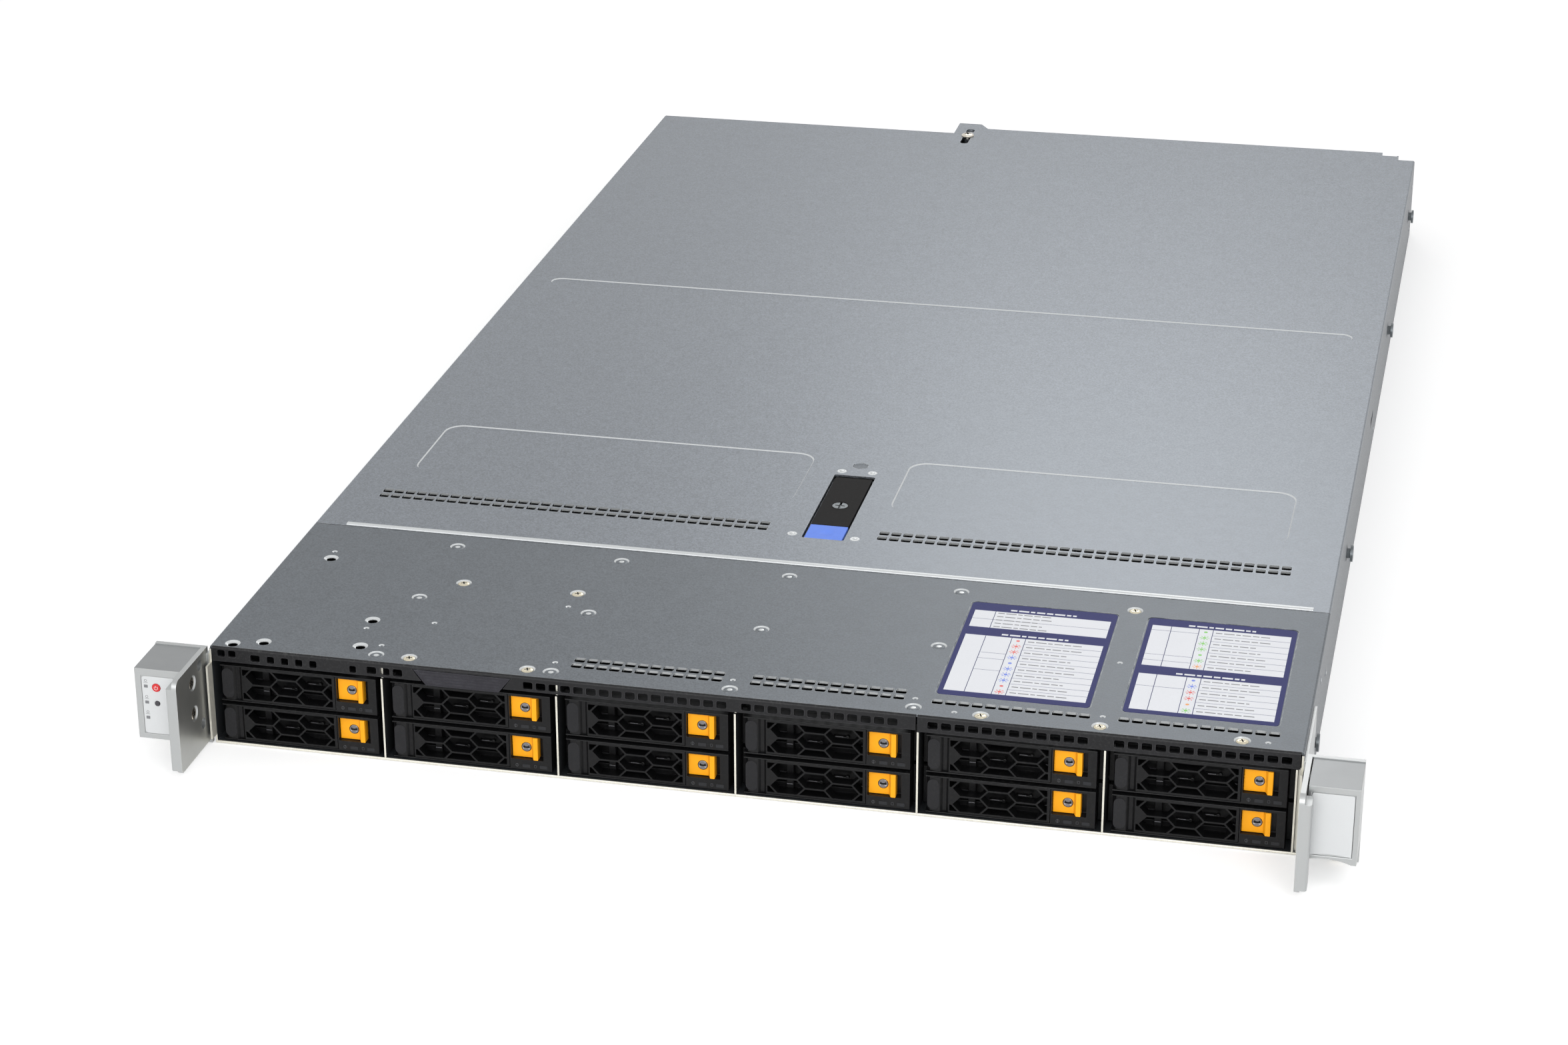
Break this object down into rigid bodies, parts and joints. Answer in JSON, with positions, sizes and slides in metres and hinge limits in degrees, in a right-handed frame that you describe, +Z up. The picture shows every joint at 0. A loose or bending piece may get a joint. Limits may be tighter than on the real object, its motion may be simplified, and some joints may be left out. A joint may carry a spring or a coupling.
{
  "type": "1u rack server",
  "caption": "Flat rack server with hot-swap drive trays, honeycomb tray levers, a sliding latched cover, grip ears with buttons and pull-out power supplies.",
  "frame": {"origin": "underside of the chassis, midway across, in the plane of the rack posts that the ears rest on", "axes": "+X to the right seen from the front, +Y to the rear, +Z up"},
  "size_m": [0.4826, 0.802, 0.0451],
  "materials": {
    "galvanised": "galvanised, fine mottled grain",
    "dark_cover": "satin dark grey",
    "black_trim": "satin black",
    "bright_steel": "plain bright",
    "ear_silver": "fine silver sparkle paint",
    "nickel": "nickel plate",
    "black_plastic": "moulded satin",
    "orange_plastic": "moulded satin",
    "blue_plastic": "moulded satin",
    "red_button": "moulded gloss",
    "dark_button": "moulded gloss",
    "board_green": "solder resist",
    "card_plastic": "moulded satin",
    "silver_box": "fine silver sparkle paint"
  },
  "bodies": {
    "chassis": {"chassis_base": "galvanised", "front_cover": "dark_cover", "front_trim": "black_trim", "bay_dividers": "bright_steel", "rail_studs": "nickel", "right_ear": "ear_silver", "left_ear": "ear_silver", "right_ear_box": "silver_box", "control_box": "silver_box", "screws": "nickel", "drive_backplane": "board_green", "fans": "black_plastic", "mainboard": "board_green", "rear_sockets": "nickel", "rear_panels": "bright_steel"},
    "cover": {"top_cover": "galvanised"},
    "latch": {"cover_latch": "black_plastic"},
    "lock": {"latch_lock": "nickel"},
    "press_tab": {"latch_button": "blue_plastic"},
    "power": {"power_button": "red_button"},
    "second": {"second_button": "dark_button"},
    "card": {"service_tab": "card_plastic"},
    "psu_1": {"power_supply_1": "galvanised"},
    "psu_2": {"power_supply_2": "galvanised"},
    "carrier_01": {"drive_carrier_01": "black_plastic"},
    "lever_01": {"tray_lever_01": "black_plastic"},
    "tab_01": {"release_tab_01": "orange_plastic"},
    "carrier_02": {"drive_carrier_02": "black_plastic"},
    "lever_02": {"tray_lever_02": "black_plastic"},
    "tab_02": {"release_tab_02": "orange_plastic"},
    "carrier_03": {"drive_carrier_03": "black_plastic"},
    "lever_03": {"tray_lever_03": "black_plastic"},
    "tab_03": {"release_tab_03": "orange_plastic"},
    "carrier_04": {"drive_carrier_04": "black_plastic"},
    "lever_04": {"tray_lever_04": "black_plastic"},
    "tab_04": {"release_tab_04": "orange_plastic"},
    "carrier_05": {"drive_carrier_05": "black_plastic"},
    "lever_05": {"tray_lever_05": "black_plastic"},
    "tab_05": {"release_tab_05": "orange_plastic"},
    "carrier_06": {"drive_carrier_06": "black_plastic"},
    "lever_06": {"tray_lever_06": "black_plastic"},
    "tab_06": {"release_tab_06": "orange_plastic"},
    "carrier_07": {"drive_carrier_07": "black_plastic"},
    "lever_07": {"tray_lever_07": "black_plastic"},
    "tab_07": {"release_tab_07": "orange_plastic"},
    "carrier_08": {"drive_carrier_08": "black_plastic"},
    "lever_08": {"tray_lever_08": "black_plastic"},
    "tab_08": {"release_tab_08": "orange_plastic"},
    "carrier_09": {"drive_carrier_09": "black_plastic"},
    "lever_09": {"tray_lever_09": "black_plastic"},
    "tab_09": {"release_tab_09": "orange_plastic"},
    "carrier_10": {"drive_carrier_10": "black_plastic"},
    "lever_10": {"tray_lever_10": "black_plastic"},
    "tab_10": {"release_tab_10": "orange_plastic"},
    "carrier_11": {"drive_carrier_11": "black_plastic"},
    "lever_11": {"tray_lever_11": "black_plastic"},
    "tab_11": {"release_tab_11": "orange_plastic"},
    "carrier_12": {"drive_carrier_12": "black_plastic"},
    "lever_12": {"tray_lever_12": "black_plastic"},
    "tab_12": {"release_tab_12": "orange_plastic"}
  },
  "joints": [
    {"name": "cover_slide", "type": "slide", "parent": "chassis", "child": "cover", "axis": [0, 1, 0], "range_m": [0, 0.012]},
    {"name": "latch_lift", "type": "hinge", "parent": "cover", "child": "latch", "pos_m": [0.0007, 0.2231, 0.0409], "axis": [-1, 0, 0], "range_deg": [0, 80]},
    {"name": "lock_turn", "type": "hinge", "parent": "latch", "child": "lock", "pos_m": [0.0007, 0.1936, 0.043], "axis": [0, 0, 1], "range_deg": [0, 90]},
    {"name": "press_tab_press", "type": "slide", "parent": "cover", "child": "press_tab", "axis": [0, 0, -1], "range_m": [0, 0.002], "stiffness_N_per_m": 400},
    {"name": "power_press", "type": "slide", "parent": "chassis", "child": "power", "axis": [0, 1, 0], "range_m": [0, 0.0008], "stiffness_N_per_m": 600},
    {"name": "second_press", "type": "slide", "parent": "chassis", "child": "second", "axis": [0, 1, 0], "range_m": [0, 0.0008], "stiffness_N_per_m": 600},
    {"name": "card_pull", "type": "slide", "parent": "chassis", "child": "card", "axis": [0, -1, 0], "range_m": [0, 0.045]},
    {"name": "psu_1_pull", "type": "slide", "parent": "chassis", "child": "psu_1", "axis": [0, 1, 0], "range_m": [0, 0.19]},
    {"name": "psu_2_pull", "type": "slide", "parent": "chassis", "child": "psu_2", "axis": [0, 1, 0], "range_m": [0, 0.19]},
    {"name": "carrier_01_pull", "type": "slide", "parent": "chassis", "child": "carrier_01", "axis": [0, -1, 0], "range_m": [0, 0.11]},
    {"name": "lever_01_swing", "type": "hinge", "parent": "carrier_01", "child": "lever_01", "pos_m": [-0.21188, 0.0039, 0.0093], "axis": [0, 0, -1], "range_deg": [0, 60]},
    {"name": "tab_01_press", "type": "slide", "parent": "carrier_01", "child": "tab_01", "axis": [1, 0, 0], "range_m": [0, 0.002], "stiffness_N_per_m": 300},
    {"name": "carrier_02_pull", "type": "slide", "parent": "chassis", "child": "carrier_02", "axis": [0, -1, 0], "range_m": [0, 0.11]},
    {"name": "lever_02_swing", "type": "hinge", "parent": "carrier_02", "child": "lever_02", "pos_m": [-0.21188, 0.0039, 0.0269], "axis": [0, 0, -1], "range_deg": [0, 60]},
    {"name": "tab_02_press", "type": "slide", "parent": "carrier_02", "child": "tab_02", "axis": [1, 0, 0], "range_m": [0, 0.002], "stiffness_N_per_m": 300},
    {"name": "carrier_03_pull", "type": "slide", "parent": "chassis", "child": "carrier_03", "axis": [0, -1, 0], "range_m": [0, 0.11]},
    {"name": "lever_03_swing", "type": "hinge", "parent": "carrier_03", "child": "lever_03", "pos_m": [-0.13947, 0.0039, 0.0093], "axis": [0, 0, -1], "range_deg": [0, 60]},
    {"name": "tab_03_press", "type": "slide", "parent": "carrier_03", "child": "tab_03", "axis": [1, 0, 0], "range_m": [0, 0.002], "stiffness_N_per_m": 300},
    {"name": "carrier_04_pull", "type": "slide", "parent": "chassis", "child": "carrier_04", "axis": [0, -1, 0], "range_m": [0, 0.11]},
    {"name": "lever_04_swing", "type": "hinge", "parent": "carrier_04", "child": "lever_04", "pos_m": [-0.13947, 0.0039, 0.0269], "axis": [0, 0, -1], "range_deg": [0, 60]},
    {"name": "tab_04_press", "type": "slide", "parent": "carrier_04", "child": "tab_04", "axis": [1, 0, 0], "range_m": [0, 0.002], "stiffness_N_per_m": 300},
    {"name": "carrier_05_pull", "type": "slide", "parent": "chassis", "child": "carrier_05", "axis": [0, -1, 0], "range_m": [0, 0.11]},
    {"name": "lever_05_swing", "type": "hinge", "parent": "carrier_05", "child": "lever_05", "pos_m": [-0.06707, 0.0039, 0.0093], "axis": [0, 0, -1], "range_deg": [0, 60]},
    {"name": "tab_05_press", "type": "slide", "parent": "carrier_05", "child": "tab_05", "axis": [1, 0, 0], "range_m": [0, 0.002], "stiffness_N_per_m": 300},
    {"name": "carrier_06_pull", "type": "slide", "parent": "chassis", "child": "carrier_06", "axis": [0, -1, 0], "range_m": [0, 0.11]},
    {"name": "lever_06_swing", "type": "hinge", "parent": "carrier_06", "child": "lever_06", "pos_m": [-0.06707, 0.0039, 0.0269], "axis": [0, 0, -1], "range_deg": [0, 60]},
    {"name": "tab_06_press", "type": "slide", "parent": "carrier_06", "child": "tab_06", "axis": [1, 0, 0], "range_m": [0, 0.002], "stiffness_N_per_m": 300},
    {"name": "carrier_07_pull", "type": "slide", "parent": "chassis", "child": "carrier_07", "axis": [0, -1, 0], "range_m": [0, 0.11]},
    {"name": "lever_07_swing", "type": "hinge", "parent": "carrier_07", "child": "lever_07", "pos_m": [0.00532, 0.0039, 0.0093], "axis": [0, 0, -1], "range_deg": [0, 60]},
    {"name": "tab_07_press", "type": "slide", "parent": "carrier_07", "child": "tab_07", "axis": [1, 0, 0], "range_m": [0, 0.002], "stiffness_N_per_m": 300},
    {"name": "carrier_08_pull", "type": "slide", "parent": "chassis", "child": "carrier_08", "axis": [0, -1, 0], "range_m": [0, 0.11]},
    {"name": "lever_08_swing", "type": "hinge", "parent": "carrier_08", "child": "lever_08", "pos_m": [0.00532, 0.0039, 0.0269], "axis": [0, 0, -1], "range_deg": [0, 60]},
    {"name": "tab_08_press", "type": "slide", "parent": "carrier_08", "child": "tab_08", "axis": [1, 0, 0], "range_m": [0, 0.002], "stiffness_N_per_m": 300},
    {"name": "carrier_09_pull", "type": "slide", "parent": "chassis", "child": "carrier_09", "axis": [0, -1, 0], "range_m": [0, 0.11]},
    {"name": "lever_09_swing", "type": "hinge", "parent": "carrier_09", "child": "lever_09", "pos_m": [0.07773, 0.0039, 0.0093], "axis": [0, 0, -1], "range_deg": [0, 60]},
    {"name": "tab_09_press", "type": "slide", "parent": "carrier_09", "child": "tab_09", "axis": [1, 0, 0], "range_m": [0, 0.002], "stiffness_N_per_m": 300},
    {"name": "carrier_10_pull", "type": "slide", "parent": "chassis", "child": "carrier_10", "axis": [0, -1, 0], "range_m": [0, 0.11]},
    {"name": "lever_10_swing", "type": "hinge", "parent": "carrier_10", "child": "lever_10", "pos_m": [0.07773, 0.0039, 0.0269], "axis": [0, 0, -1], "range_deg": [0, 60]},
    {"name": "tab_10_press", "type": "slide", "parent": "carrier_10", "child": "tab_10", "axis": [1, 0, 0], "range_m": [0, 0.002], "stiffness_N_per_m": 300},
    {"name": "carrier_11_pull", "type": "slide", "parent": "chassis", "child": "carrier_11", "axis": [0, -1, 0], "range_m": [0, 0.11]},
    {"name": "lever_11_swing", "type": "hinge", "parent": "carrier_11", "child": "lever_11", "pos_m": [0.15013, 0.0039, 0.0093], "axis": [0, 0, -1], "range_deg": [0, 60]},
    {"name": "tab_11_press", "type": "slide", "parent": "carrier_11", "child": "tab_11", "axis": [1, 0, 0], "range_m": [0, 0.002], "stiffness_N_per_m": 300},
    {"name": "carrier_12_pull", "type": "slide", "parent": "chassis", "child": "carrier_12", "axis": [0, -1, 0], "range_m": [0, 0.11]},
    {"name": "lever_12_swing", "type": "hinge", "parent": "carrier_12", "child": "lever_12", "pos_m": [0.15013, 0.0039, 0.0269], "axis": [0, 0, -1], "range_deg": [0, 60]},
    {"name": "tab_12_press", "type": "slide", "parent": "carrier_12", "child": "tab_12", "axis": [1, 0, 0], "range_m": [0, 0.002], "stiffness_N_per_m": 300}
  ],
  "couplings": [
    {"joint": "latch_lift", "follows": "cover_slide", "rad_per_m": 116}
  ]
}
